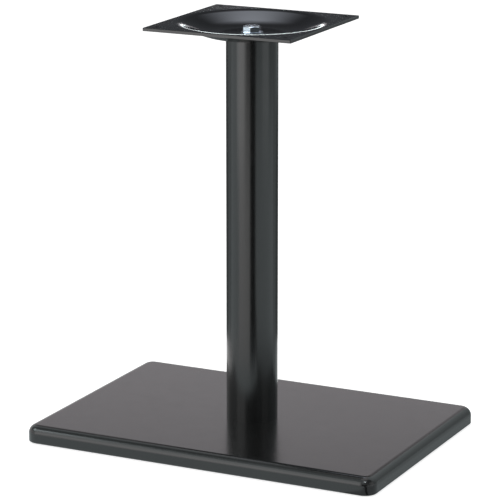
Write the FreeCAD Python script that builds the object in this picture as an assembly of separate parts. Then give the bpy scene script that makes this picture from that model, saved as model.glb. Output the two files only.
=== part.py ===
import FreeCAD, Part
import math
import os

# Pedestal table base: a rectangular iron casting, a round steel column and a
# pressed square top plate that the table top is screwed to.
# Millimetres, Z up. The origin is on the floor, under the middle of the column.
# X runs along the long side of the casting.

# Casting, outside
base_length = 655.0
base_width = 452.0
base_height = 30.0
base_corner_r = 22.0
base_top_edge_r = 15.0
base_foot_chamfer = 1.5

# Casting, cored underside
rim_wall = 8.0
deck_thickness = 7.0
draft_deg = 4.0
core_chamfer = 3.0
rib_thickness = 8.0
rib_lift = 3.0
rib_pitch = 165.0
hub_r = 48.0
bolt_web = 9.0
bolt_recess_r = 28.0

# Rubber pads under the corners
pad_inset = 27.0
pad_width = 30.0
pad_thickness = 4.5
pad_corner_chamfer = 3.0
pad_edge_chamfer = 0.8
pad_boss_width = 40.0
base_stand = 1.5

# Column
column_d = 88.9
column_wall = 2.5
column_length = 669.0
spigot_height = 5.0
spigot_chamfer = 1.0
plug_thickness = 16.0

# Pressed top plate
plate_width = 273.0
plate_corner_r = 1.5
plate_thickness = 5.5
plate_edge_chamfer = 0.5
dish_rim_r = 131.0
dish_depth = 20.0
dish_wall_deg = 20.0
dish_rim_bend_r = 34.0
dish_floor_bend_r = 110.0
screw_hole_d = 7.0
screw_hole_inset = 18.0

# M16 bolts with heavy heads, and washers
thread_d = 16.0
thread_pitch = 2.0
bolt_flats = 27.0
bolt_head_h = 10.0
bolt_face_h = 0.4
head_bolt_turn_deg = 13.0
head_bolt_length = 32.0
foot_bolt_length = 38.0
bolt_head_chamfer_deg = 30.0
bolt_end_chamfer = 1.8
washer_od = 37.0
washer_thickness = 3.0
spring_washer_od = 28.0
spring_washer_thickness = 4.0
spring_washer_gap = 2.4
spring_washer_slant_deg = 20.0

# Clearances
spigot_clearance = 0.4
spigot_end_clearance = 0.5
plug_clearance = 0.1
thread_clearance = 0.05
bolt_clearance = 0.75

# Levels worked out from the sizes above
foot_z = base_stand
deck_z = foot_z + base_height
column_top_z = deck_z + column_length
dish_floor_z = column_top_z + plate_thickness
plate_top_z = dish_floor_z + dish_depth
column_bore_r = column_d / 2 - column_wall
bolt_hole_r = thread_d / 2 + bolt_clearance
# A thread is drawn as a plain cylinder at its pitch diameter.
thread_r = (thread_d - 0.6495 * thread_pitch) / 2
foot_plug_z = deck_z + spigot_height + spigot_end_clearance
head_plug_z = column_top_z - plug_thickness
web_z = deck_z - bolt_web
pad_x = base_length / 2 - pad_inset
pad_y = base_width / 2 - pad_inset
pad_places = [(pad_x, pad_y), (-pad_x, pad_y), (-pad_x, -pad_y), (pad_x, -pad_y)]
screw_hole_xy = plate_width / 2 - screw_hole_inset

UP = FreeCAD.Vector(0, 0, 1)
ORIGIN = FreeCAD.Vector(0, 0, 0)


def at(x, y, z):
    return FreeCAD.Vector(x, y, z)


def cylinder(radius, z_low, z_high, x=0.0, y=0.0):
    return Part.makeCylinder(radius, z_high - z_low, at(x, y, z_low), UP)


def cone(radius_low, radius_high, z_low, z_high, x=0.0, y=0.0):
    return Part.makeCone(radius_low, radius_high, z_high - z_low, at(x, y, z_low), UP)


def block(length, width, z_low, z_high, x=0.0, y=0.0):
    return Part.makeBox(length, width, z_high - z_low, at(x - length / 2, y - width / 2, z_low), UP)


def ring(outer_r, inner_r, z_low, z_high):
    return cylinder(outer_r, z_low, z_high).cut(cylinder(inner_r, z_low, z_high))


def revolved(edges):
    """A closed outline in the XZ plane, turned about the Z axis."""
    return Part.Face(Part.Wire(edges)).revolve(ORIGIN, UP, 360)


def rounded_rectangle(length, width, radius, z):
    """A wire of four straight sides and four corner arcs."""
    flat_x = length / 2 - radius
    flat_y = width / 2 - radius
    lean = radius * math.sqrt(0.5)
    corners = [(flat_x, flat_y, 1, 1), (-flat_x, flat_y, -1, 1),
               (-flat_x, -flat_y, -1, -1), (flat_x, -flat_y, 1, -1)]
    arcs = []
    for x, y, sx, sy in corners:
        on_x = at(x + sx * radius, y, z)
        middle = at(x + sx * lean, y + sy * lean, z)
        on_y = at(x, y + sy * radius, z)
        ends = (on_x, on_y) if sx == sy else (on_y, on_x)
        arcs.append(Part.Arc(ends[0], middle, ends[1]).toShape())
    edges = []
    for index, arc in enumerate(arcs):
        following = arcs[(index + 1) % 4]
        edges.append(arc)
        edges.append(Part.makeLine(arc.Vertexes[-1].Point, following.Vertexes[0].Point))
    return Part.Wire(edges)


def edges_at(shape, z):
    """Every edge that lies flat at one height."""
    near = 1e-4
    return [e for e in shape.Edges if abs(e.BoundBox.ZMin - z) < near and abs(e.BoundBox.ZMax - z) < near]


def casting_body():
    """The outside of the casting, with its soft top edge."""
    outline = rounded_rectangle(base_length, base_width, base_corner_r, foot_z)
    body = Part.Face(outline).extrude(at(0, 0, base_height))
    body = body.makeFillet(base_top_edge_r, edges_at(body, deck_z))
    return body.makeChamfer(base_foot_chamfer, edges_at(body, foot_z))


def drafted_rib(reach, angle_deg, x=0.0):
    """A rib through the middle line, thinner at its free edge than at the deck."""
    low = foot_z + rib_lift
    high = deck_z - deck_thickness / 2
    half_high = rib_thickness / 2
    half_low = half_high - (high - low) * math.tan(math.radians(draft_deg))
    start = -reach / 2
    section = [at(start, -half_low, low), at(start, half_low, low),
               at(start, half_high, high), at(start, -half_high, high)]
    rib = Part.Face(Part.makePolygon(section + section[:1])).extrude(at(reach, 0, 0))
    rib.rotate(ORIGIN, UP, angle_deg)
    rib.translate(at(x, 0, 0))
    return rib


def casting_core():
    """The hollow that the sand core leaves under the deck, between ribs, hub and bosses."""
    roof_z = deck_z - deck_thickness
    root_z = deck_z - deck_thickness / 2
    length = base_length - 2 * rim_wall
    width = base_width - 2 * rim_wall
    mouth = rounded_rectangle(length, width, base_corner_r - rim_wall, foot_z)
    hollow = Part.Face(mouth).extrude(at(0, 0, roof_z - foot_z))
    hollow = hollow.makeChamfer(core_chamfer, edges_at(hollow, roof_z))
    hub_foot_r = hub_r - (root_z - foot_z) * math.tan(math.radians(draft_deg))
    solid = [cone(hub_foot_r, hub_r, foot_z, root_z), drafted_rib(length, 0)]
    for x in (-rib_pitch, 0, rib_pitch):
        solid.append(drafted_rib(width, 90, x))
    for x, y in pad_places:
        solid.append(block(pad_boss_width, pad_boss_width, pad_thickness, root_z, x, y))
    return hollow.cut(solid)


def cast_base():
    spigot_top_z = deck_z + spigot_height
    spigot = cylinder(column_bore_r - spigot_clearance, deck_z, spigot_top_z)
    spigot = spigot.makeChamfer(spigot_chamfer, edges_at(spigot, spigot_top_z))
    body = casting_body().cut(casting_core()).fuse(spigot).removeSplitter()
    recess = cylinder(bolt_recess_r, foot_z, web_z)
    return body.cut([recess, cylinder(bolt_hole_r, web_z, spigot_top_z)])


def column_tube():
    return ring(column_d / 2, column_bore_r, deck_z, column_top_z)


def threaded_plug(z_low):
    """A disc fixed inside the tube, tapped for the bolt."""
    return ring(column_bore_r - plug_clearance, thread_r + thread_clearance, z_low, z_low + plug_thickness)


def dish_outline():
    """The section of the pressed dish: a sheet of even thickness, bent at the rim and at the floor."""
    angle = math.radians(dish_wall_deg)
    bends = dish_rim_bend_r + dish_floor_bend_r
    wall = (dish_depth - bends * (1 - math.cos(angle))) / math.sin(angle)
    floor_r = dish_rim_r - bends * math.sin(angle) - wall * math.cos(angle)
    rim_centre = (dish_rim_r, plate_top_z - dish_rim_bend_r)
    floor_centre = (floor_r, dish_floor_z + dish_floor_bend_r)

    def on_rim(radius, turn):
        return at(rim_centre[0] - radius * math.sin(turn), 0, rim_centre[1] + radius * math.cos(turn))

    def on_floor(radius, turn):
        return at(floor_centre[0] + radius * math.sin(turn), 0, floor_centre[1] - radius * math.cos(turn))

    def side(rim_radius, floor_radius, level):
        flat = Part.makeLine(at(bolt_hole_r, 0, level), on_floor(floor_radius, 0))
        floor_bend = Part.Arc(on_floor(floor_radius, 0), on_floor(floor_radius, angle / 2),
                              on_floor(floor_radius, angle)).toShape()
        slope = Part.makeLine(on_floor(floor_radius, angle), on_rim(rim_radius, angle))
        rim_bend = Part.Arc(on_rim(rim_radius, angle), on_rim(rim_radius, angle / 2),
                            on_rim(rim_radius, 0)).toShape()
        return [flat, floor_bend, slope, rim_bend]

    top = side(dish_rim_bend_r, dish_floor_bend_r, dish_floor_z)
    under = side(dish_rim_bend_r - plate_thickness, dish_floor_bend_r + plate_thickness, column_top_z)
    edge = Part.makeLine(at(dish_rim_r, 0, plate_top_z), at(dish_rim_r, 0, plate_top_z - plate_thickness))
    hole = Part.makeLine(at(bolt_hole_r, 0, column_top_z), at(bolt_hole_r, 0, dish_floor_z))
    return top + [edge] + under[::-1] + [hole]


def top_plate():
    low = plate_top_z - plate_thickness
    outline = rounded_rectangle(plate_width, plate_width, plate_corner_r, low)
    plate = Part.Face(outline).extrude(at(0, 0, plate_thickness))
    plate = plate.makeChamfer(plate_edge_chamfer, edges_at(plate, low) + edges_at(plate, plate_top_z))
    plate = plate.cut(cylinder(dish_rim_r, low, plate_top_z))
    plate = plate.fuse(revolved(Part.sortEdges(dish_outline())[0])).removeSplitter()
    holes = []
    for x in (-screw_hole_xy, screw_hole_xy):
        for y in (-screw_hole_xy, screw_hole_xy):
            holes.append(cylinder(screw_hole_d / 2, low, plate_top_z, x, y))
    return plate.cut(holes)


def hex_head():
    """A hexagon on the plane Z = 0, rising to its chamfered top."""
    corner_r = bolt_flats / math.sqrt(3)
    points = []
    for step in range(7):
        turn = math.radians(60 * step + 30)
        points.append(at(corner_r * math.cos(turn), corner_r * math.sin(turn), bolt_face_h))
    head = Part.Face(Part.makePolygon(points)).extrude(at(0, 0, bolt_head_h - bolt_face_h))
    top_r = bolt_flats / 2 * 0.95
    slope = math.tan(math.radians(bolt_head_chamfer_deg))
    turned_r = top_r + bolt_head_h / slope
    blank = cone(turned_r, top_r, 0, bolt_head_h)
    return head.common(blank).fuse(cylinder(top_r, 0, bolt_face_h))


def hex_bolt(length):
    """A fully threaded bolt: head above the plane Z = 0, shank below it."""
    shank = cylinder(thread_r, -length, 0)
    shank = shank.makeChamfer(bolt_end_chamfer, edges_at(shank, -length))
    return hex_head().fuse(shank).removeSplitter()


def head_bolt():
    bolt = hex_bolt(head_bolt_length)
    bolt.rotate(ORIGIN, UP, head_bolt_turn_deg)
    bolt.translate(at(0, 0, dish_floor_z + washer_thickness))
    return bolt


def foot_bolt():
    bolt = hex_bolt(foot_bolt_length)
    bolt.rotate(ORIGIN, FreeCAD.Vector(1, 0, 0), 180)
    bolt.translate(at(0, 0, web_z - washer_thickness - spring_washer_thickness))
    return bolt


def flat_washer(z_low):
    return ring(washer_od / 2, bolt_hole_r, z_low, z_low + washer_thickness)


def spring_washer(z_low):
    """A split ring, drawn pressed flat as it is under the tightened bolt."""
    z_high = z_low + spring_washer_thickness
    outer_r = spring_washer_od / 2
    washer = ring(outer_r, bolt_hole_r, z_low, z_high)
    slot = Part.makeBox(outer_r, spring_washer_gap, 2 * spring_washer_thickness,
                        at(0, -spring_washer_gap / 2, -spring_washer_thickness))
    slot.rotate(ORIGIN, FreeCAD.Vector(1, 0, 0), spring_washer_slant_deg)
    slot.translate(at(0, 0, z_low + spring_washer_thickness / 2))
    return washer.cut(slot)


def rubber_pad(x, y):
    """A square pad glued to its boss, with its corners and its lower edge taken off."""
    pad = block(pad_width, pad_width, 0, pad_thickness)
    upright = [e for e in pad.Edges if e.BoundBox.ZLength > pad_thickness / 2]
    pad = pad.makeChamfer(pad_corner_chamfer, upright)
    pad = pad.makeChamfer(pad_edge_chamfer, edges_at(pad, 0))
    pad.translate(at(x, y, 0))
    return pad


def save(name, shape):
    shape.exportStep("parts/" + name + ".step")
    print(name, shape.ShapeType, len(shape.Solids), shape.isValid(), round(shape.Volume / 1000, 2))


os.makedirs("parts", exist_ok=True)
save("cast_base", cast_base())
save("column_tube", column_tube())
save("column_foot_plug", threaded_plug(foot_plug_z))
save("column_head_plug", threaded_plug(head_plug_z))
save("top_plate", top_plate())
save("head_washer", flat_washer(dish_floor_z))
save("head_bolt", head_bolt())
save("foot_washer", flat_washer(web_z - washer_thickness))
save("foot_spring_washer", spring_washer(web_z - washer_thickness - spring_washer_thickness))
save("foot_bolt", foot_bolt())
for number, (x, y) in enumerate(pad_places, start=1):
    save("rubber_pad_%d" % number, rubber_pad(x, y))
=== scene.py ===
import math

import bpy
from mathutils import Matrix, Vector


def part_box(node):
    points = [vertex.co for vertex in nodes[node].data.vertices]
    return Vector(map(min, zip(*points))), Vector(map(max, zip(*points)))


# The looks of a pedestal table base: surfaces, studio and camera round the frame's own pieces.
# Metres, Z up, the origin on the floor under the column. Colours are linear light.
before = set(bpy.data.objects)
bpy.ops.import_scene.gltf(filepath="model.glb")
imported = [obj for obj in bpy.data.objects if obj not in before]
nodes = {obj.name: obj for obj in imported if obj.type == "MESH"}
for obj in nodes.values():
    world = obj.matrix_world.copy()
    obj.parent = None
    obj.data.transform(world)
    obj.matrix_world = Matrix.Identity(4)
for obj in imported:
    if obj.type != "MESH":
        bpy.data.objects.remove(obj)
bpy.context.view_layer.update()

# Camera, fitted to the outlines in the photograph
CAMERA_AT = (2.0315, -4.1440, 1.5106)
CAMERA_YAW_DEG = -26.161
CAMERA_DIP_DEG = 14.361
SENSOR_WIDTH_MM = 36.0
FOCAL_PIXELS = 2771.8
PICTURE_PIXELS = 500.0
CLIP_NEAR, CLIP_FAR = 0.1, 60.0

# The side that the camera stands on, as a compass angle about Z from -Y
CAMERA_SIDE_DEG = 26.1

# Surface colours, each from its darker to its lighter patches
ENAMEL_SHADES = (0.0060, 0.0064, 0.0066, 1.0), (0.0085, 0.0086, 0.0086, 1.0)
ZINC_SHADES = (0.68, 0.75, 0.86, 1.0), (0.85, 0.89, 0.95, 1.0)
STEEL_SHADES = (0.33, 0.32, 0.31, 1.0), (0.47, 0.46, 0.45, 1.0)
RUBBER_SHADES = (0.016, 0.016, 0.016, 1.0), (0.03, 0.03, 0.029, 1.0)
ENAMEL_IOR = 1.6

# Backdrop
WORLD_AMBIENT = 0.5
FLOOR_HALF_SIZE = 12.0
FLOOR_GLOW = 0.75
FLOOR_COLOUR = (0.8, 0.8, 0.8, 1.0)
WHITE = (1.0, 1.0, 1.0, 1.0)

# Faint casts of the studio cards
COOL_GLOW = (0.90, 1.0, 1.02, 1.0)
BLUE_GLOW = (0.94, 1.0, 1.12, 1.0)
WARM_GLOW = (1.02, 0.97, 1.01, 1.0)

# Where the studio cards stand
CARD_LIFT = 0.002
CORNER_CARD_LIFT = 0.003
CORNER_INSET = 0.012
NEAR_FLOOR, FAR_FLOOR = 0.6, 6.0
WALL_RADIUS, WALL_FOOT, WALL_TOP = 3.0, 1.12, 8.0
DISH_CARD_RADIUS = 0.8
RIM_STRIP_FOOT, RIM_STRIP_TOP = 0.62, 0.775


class Shader:
    """A material's node tree, with short calls for the nodes that it needs."""

    def __init__(self, name):
        self.material = bpy.data.materials.new(name)
        self.material.use_nodes = True
        self.tree = self.material.node_tree
        self.tree.nodes.clear()
        self.out = self.add("ShaderNodeOutputMaterial")
        self.place = self.add("ShaderNodeTexCoord").outputs["Object"]

    def add(self, kind, **settings):
        node = self.tree.nodes.new(kind)
        for key, value in settings.items():
            setattr(node, key, value)
        return node

    def link(self, source, target):
        self.tree.links.new(source, target)

    def feed(self, socket, value):
        """A plain number or colour is set on the socket, and another node's output is linked to it."""
        if isinstance(value, bpy.types.NodeSocket):
            self.link(value, socket)
        else:
            socket.default_value = value

    def scaled_place(self, scale):
        mapping = self.add("ShaderNodeMapping")
        mapping.inputs["Scale"].default_value = scale
        self.link(self.place, mapping.inputs["Vector"])
        return mapping.outputs["Vector"]

    def noise(self, scale, detail=2.0, rough=0.5, place=None):
        node = self.add("ShaderNodeTexNoise")
        node.inputs["Scale"].default_value = scale
        node.inputs["Detail"].default_value = detail
        node.inputs["Roughness"].default_value = rough
        self.link(place or self.place, node.inputs["Vector"])
        return node.outputs["Fac"]

    def spread(self, value, low, high, from_low=0.3, from_high=0.7):
        """Stretch a value, by default the middle of a noise, to run from low to high."""
        node = self.add("ShaderNodeMapRange")
        node.inputs["From Min"].default_value = from_low
        node.inputs["From Max"].default_value = from_high
        node.inputs["To Min"].default_value = low
        node.inputs["To Max"].default_value = high
        self.link(value, node.inputs["Value"])
        return node.outputs["Result"]

    def combine(self, operation, *values):
        node = self.add("ShaderNodeMath", operation=operation)
        for socket, value in zip(node.inputs, values):
            self.feed(socket, value)
        return node.outputs["Value"]

    def patches(self, value, shades):
        """A colour that runs between two shades with a noise."""
        node = self.add("ShaderNodeMix", data_type="RGBA")
        self.link(self.spread(value, low=0.0, high=1.0), node.inputs["Factor"])
        node.inputs["A"].default_value, node.inputs["B"].default_value = shades
        return node.outputs["Result"]

    def bump(self, height, strength, distance):
        node = self.add("ShaderNodeBump")
        node.inputs["Strength"].default_value = strength
        node.inputs["Distance"].default_value = distance
        self.link(height, node.inputs["Height"])
        return node.outputs["Normal"]

    def surface(self, **values):
        """The principled surface."""
        node = self.add("ShaderNodeBsdfPrincipled")
        for key, value in values.items():
            self.feed(node.inputs[key.replace("_", " ")], value)
        self.link(node.outputs["BSDF"], self.out.inputs["Surface"])
        return self.material

    def glow(self, level, colour):
        """A surface that only shines."""
        node = self.add("ShaderNodeEmission")
        node.inputs["Color"].default_value = colour
        self.feed(node.inputs["Strength"], level)
        self.link(node.outputs["Emission"], self.out.inputs["Surface"])
        return self.material


def black_enamel(name, rough, peel_scale, peel_depth):
    """Baked black enamel: fine orange peel, slow changes of gloss, and a faint change of shade."""
    s = Shader(name)
    slow = s.noise(scale=9.0, detail=3.0)
    fine = s.noise(scale=peel_scale, detail=3.0, rough=0.55)
    gloss = s.noise(scale=38.0, detail=5.0, rough=0.6)
    return s.surface(Base_Color=s.patches(slow, ENAMEL_SHADES), Roughness=s.spread(gloss, *rough),
                     IOR=ENAMEL_IOR, Normal=s.bump(fine, strength=0.35, distance=peel_depth))


def bright_zinc():
    """Bright zinc on steel: pale blue, with fine marks and patches of duller plate."""
    s = Shader("bright_zinc")
    duller = s.noise(scale=160.0, detail=4.0, rough=0.6)
    grain = s.noise(scale=900.0)
    return s.surface(Base_Color=s.patches(duller, ZINC_SHADES), Metallic=1.0,
                     Roughness=s.spread(duller, low=0.13, high=0.19),
                     Normal=s.bump(grain, strength=0.25, distance=0.00005))


def turned_steel():
    s = Shader("turned_steel")
    rings = s.noise(scale=400.0, detail=3.0, place=s.scaled_place((1.0, 1.0, 0.1)))
    return s.surface(Base_Color=s.patches(rings, STEEL_SHADES), Metallic=1.0, Roughness=0.42,
                     Normal=s.bump(rings, strength=0.3, distance=0.00008))


def black_rubber():
    s = Shader("black_rubber")
    grain = s.noise(scale=700.0, detail=3.0)
    return s.surface(Base_Color=s.patches(grain, RUBBER_SHADES), Roughness=0.85,
                     Normal=s.bump(grain, strength=0.6, distance=0.0002))


def dress(material, *names):
    for name in names:
        for slot in nodes[name].material_slots:
            slot.material = material


def dress_part():
    dress(black_enamel("cast_enamel", (0.18, 0.22), peel_scale=850.0, peel_depth=0.00002), "cast_base")
    dress(black_enamel("tube_enamel", (0.19, 0.23), peel_scale=1100.0, peel_depth=0.00002), "column_tube")
    dress(black_enamel("plate_enamel", (0.08, 0.10), peel_scale=950.0, peel_depth=0.000007), "top_plate")
    dress(bright_zinc(), "head_bolt", "head_washer", "foot_bolt", "foot_washer", "foot_spring_washer")
    dress(turned_steel(), "column_head_plug", "column_foot_plug")
    dress(black_rubber(), "rubber_pad_1", "rubber_pad_2", "rubber_pad_3", "rubber_pad_4")


def seen_as_background(tree):
    """1 for the rays that see the background: straight, mirrored or through glass."""
    path = tree.nodes.new("ShaderNodeLightPath")
    last = path.outputs["Is Camera Ray"]
    for other in ("Is Glossy Ray", "Is Transmission Ray"):
        node = tree.nodes.new("ShaderNodeMath")
        node.operation = "MAXIMUM"
        tree.links.new(last, node.inputs[0])
        tree.links.new(path.outputs[other], node.inputs[1])
        last = node.outputs["Value"]
    return last


def white_world():
    """White to the eye, and a soft even light for the object."""
    world = bpy.data.worlds.new("studio")
    bpy.context.scene.world = world
    world.use_nodes = True
    tree = world.node_tree
    tree.nodes.clear()
    out = tree.nodes.new("ShaderNodeOutputWorld")
    level = tree.nodes.new("ShaderNodeMapRange")
    level.inputs["To Min"].default_value = WORLD_AMBIENT
    level.inputs["To Max"].default_value = 1.0
    glow = tree.nodes.new("ShaderNodeBackground")
    glow.inputs["Color"].default_value = WHITE
    tree.links.new(seen_as_background(tree), level.inputs["Value"])
    tree.links.new(level.outputs["Result"], glow.inputs["Strength"])
    tree.links.new(glow.outputs["Background"], out.inputs["Surface"])


def flat_mesh(name, points, faces, material):
    mesh = bpy.data.meshes.new(name)
    mesh.from_pydata(points, [], faces)
    mesh.update()
    mesh.materials.append(material)
    thing = bpy.data.objects.new(name, mesh)
    bpy.context.scene.collection.objects.link(thing)
    return thing


def white_floor():
    """A pale floor that reads white and still takes the object's shadow."""
    s = Shader("white_floor")
    diffuse = s.add("ShaderNodeBsdfDiffuse")
    diffuse.inputs["Color"].default_value = FLOOR_COLOUR
    glowing = s.add("ShaderNodeEmission")
    glowing.inputs["Strength"].default_value = FLOOR_GLOW
    dark = s.add("ShaderNodeEmission")
    dark.inputs["Strength"].default_value = 0.0
    chosen = s.add("ShaderNodeMixShader")
    s.link(seen_as_background(s.tree), chosen.inputs["Fac"])
    s.link(dark.outputs["Emission"], chosen.inputs[1])
    s.link(glowing.outputs["Emission"], chosen.inputs[2])
    both = s.add("ShaderNodeAddShader")
    s.link(diffuse.outputs["BSDF"], both.inputs[0])
    s.link(chosen.outputs["Shader"], both.inputs[1])
    s.link(both.outputs["Shader"], s.out.inputs["Surface"])
    h = FLOOR_HALF_SIZE
    corners = [(-h, -h, 0), (h, -h, 0), (h, h, 0), (-h, h, 0)]
    flat_mesh("floor", corners, [(0, 1, 2, 3)], s.material)


def plain(name, level):
    """An even glow."""
    return Shader(name).glow(level, COOL_GLOW)


def graded(name, low, high, below, above, curve, colour=COOL_GLOW):
    """A glow that changes with the height: one level below low, another above high, a curve between."""
    s = Shader(name)
    parts = s.add("ShaderNodeSeparateXYZ")
    s.link(s.place, parts.inputs["Vector"])
    rise = s.spread(parts.outputs["Z"], low=0.0, high=1.0, from_low=low, from_high=high)
    level = s.combine("MULTIPLY_ADD", s.combine("POWER", rise, curve), above - below, below)
    return s.glow(level, colour)


def studio_card(name, points, faces, material):
    """A card that shows only in the object's gloss, and casts no shadow."""
    card = flat_mesh(name, points, faces, material)
    card.visible_camera = False
    card.visible_diffuse = False
    card.visible_shadow = False
    card.visible_transmission = False


def compass(degrees, radius, z):
    """A point round the column. 0 is the camera's side, and angles grow towards the camera's right."""
    turn = math.radians(CAMERA_SIDE_DEG + degrees)
    return (radius * math.sin(turn), -radius * math.cos(turn), z)


def band_card(name, start, end, first, last, steps, material):
    """A card that runs round the object. first and last are the radius and height of its two edges."""
    points = []
    for i in range(steps + 1):
        angle = start + (end - start) * i / steps
        points += [compass(angle, *first), compass(angle, *last)]
    faces = [(2 * i, 2 * i + 1, 2 * i + 3, 2 * i + 2) for i in range(steps)]
    studio_card(name, points, faces, material)


def floor_card(name, start, end, inner, outer, level, height=CARD_LIFT):
    """A sector of a ring that lies just over the floor, or hangs level over it."""
    band_card(name, start, end, (inner, height), (outer, height), 12, plain(name, level))


def wall_card(name, start, end, radius, low, high, material):
    """A curved wall."""
    band_card(name, start, end, (radius, low), (radius, high), 24, material)


def corner_card(name, reach, spread, level):
    """A wedge on the floor that runs from the near corner of the foot towards the camera's side."""
    low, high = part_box("cast_base")
    tip = Vector((high[0] - CORNER_INSET, low[1] + CORNER_INSET, CORNER_CARD_LIFT))
    points = [tip] + [tip + Vector(compass(side, reach, 0.0)) for side in (-spread, spread)]
    studio_card(name, points, [(0, 1, 2)], plain(name, level))


def soft_light(name, at, towards, width, height, power, mirrored=True):
    lamp = bpy.data.lights.new(name, "AREA")
    lamp.shape = "RECTANGLE"
    lamp.size, lamp.size_y = width, height
    lamp.energy = power
    thing = bpy.data.objects.new(name, lamp)
    bpy.context.scene.collection.objects.link(thing)
    thing.location = at
    thing.rotation_mode = "QUATERNION"
    thing.rotation_quaternion = (Vector(towards) - Vector(at)).to_track_quat("-Z", "Y")
    thing.visible_glossy = mirrored


def hang_lights():
    middle, head = (0.0, 0.0, 0.4), (0.0, 0.0, 0.7)
    soft_light("left_box", compass(-52.0, 1.9, 0.75), middle, width=1.3, height=1.4, power=5.6)
    soft_light("right_box", compass(60.0, 2.3, 0.75), middle, width=1.3, height=1.4, power=2.0)
    soft_light("top_box", compass(180.0, 1.3, 2.6), head, width=1.2, height=0.8, power=6.0, mirrored=False)


def lay_floor_cards():
    """What the upright faces mirror: the column's light bands, and the sides of the foot."""
    floor_card("front_floor", -9.0, 14.0, 0.5, FAR_FLOOR, level=0.0)
    floor_card("front_near_floor", -95.0, 24.0, 0.22, 0.5, level=0.95)
    corner_card("corner_floor", reach=0.5, spread=9.0, level=0.0)
    floor_card("right_side_floor", 14.0, 105.0, NEAR_FLOOR, FAR_FLOOR, level=0.9)
    floor_card("left_side_floor", -105.0, -60.0, NEAR_FLOOR, FAR_FLOOR, level=0.95)
    floor_card("right_near_floor", 24.0, 150.0, 0.3, NEAR_FLOOR, level=0.5)
    floor_card("left_floor", -130.0, -105.0, NEAR_FLOOR, FAR_FLOOR, level=0.45)
    floor_card("right_floor", 105.0, 130.0, NEAR_FLOOR, FAR_FLOOR, level=0.45)
    floor_card("back_floor", 130.0, 230.0, NEAR_FLOOR, FAR_FLOOR, level=0.12)


def stand_wall_cards():
    """What the flat tops, the round edges and the dish mirror."""
    wall_card("front_wall", -26.0, 18.0, 3.4, 0.0, WALL_FOOT, plain("front_wall", 0.05))
    wall_card("right_wall", 18.0, 80.0, 3.2, 0.2, WALL_FOOT, plain("right_wall", 0.3))
    for name, start, end, level in (("wall_front_left", -75.0, 0.0, 0.7),
                                    ("wall_front_right", 0.0, 80.0, 0.2),
                                    ("wall_back_left", 210.0, 235.0, 0.8),
                                    ("wall_left", 235.0, 285.0, 0.32)):
        wall_card(name, start, end, WALL_RADIUS, WALL_FOOT, WALL_TOP, plain(name, level))
    wall_card("left_high", -97.0, -70.0, 1.9, 1.0, 1.9, plain("left_high", 4.0))
    wall_card("wall_right", 80.0, 150.0, WALL_RADIUS, 0.0, WALL_TOP,
              graded("wall_right", low=0.2, high=2.6, below=0.38, above=0.95, curve=1.3))
    wall_card("back_wall", 156.0, 204.0, DISH_CARD_RADIUS, 0.82, 3.5,
              graded("back_wall", low=1.12, high=1.587, below=0.08, above=2.05, curve=2.0,
                     colour=BLUE_GLOW))
    wall_card("low_back_wall", 150.0, 210.0, 2.42, 0.3, 3.0,
              graded("low_back_wall", low=0.75, high=1.5, below=0.76, above=0.25, curve=1.0,
                     colour=WARM_GLOW))
    wall_card("spot", -6.0, 8.0, 2.6, 2.4, 3.4, plain("spot", 22.0))


def hang_rim_cards():
    """Bright strips that draw the line of light on the dish's rim, and what hides them from the foot."""
    floor_card("rim_shield", 158.0, 202.0, 0.42, 0.84, level=0.04, height=0.6)
    for name, start, end, level in (("rim_strip_right", 166.0, 172.0, 3.5),
                                    ("rim_strip", 172.0, 187.0, 6.0),
                                    ("rim_strip_left", 187.0, 194.0, 2.2)):
        wall_card(name, start, end, DISH_CARD_RADIUS, RIM_STRIP_FOOT, RIM_STRIP_TOP, plain(name, level))


def set_camera():
    data = bpy.data.cameras.new("camera")
    data.sensor_width = SENSOR_WIDTH_MM
    data.lens = FOCAL_PIXELS / PICTURE_PIXELS * SENSOR_WIDTH_MM
    data.clip_start, data.clip_end = CLIP_NEAR, CLIP_FAR
    camera = bpy.data.objects.new("camera", data)
    bpy.context.scene.collection.objects.link(camera)
    camera.location = CAMERA_AT
    camera.rotation_euler = (math.radians(90.0 - CAMERA_DIP_DEG), 0.0, math.radians(-CAMERA_YAW_DEG))
    bpy.context.scene.camera = camera


dress_part()
white_world()
white_floor()
hang_lights()
lay_floor_cards()
stand_wall_cards()
hang_rim_cards()
set_camera()
bpy.context.scene.view_settings.view_transform = "Standard"
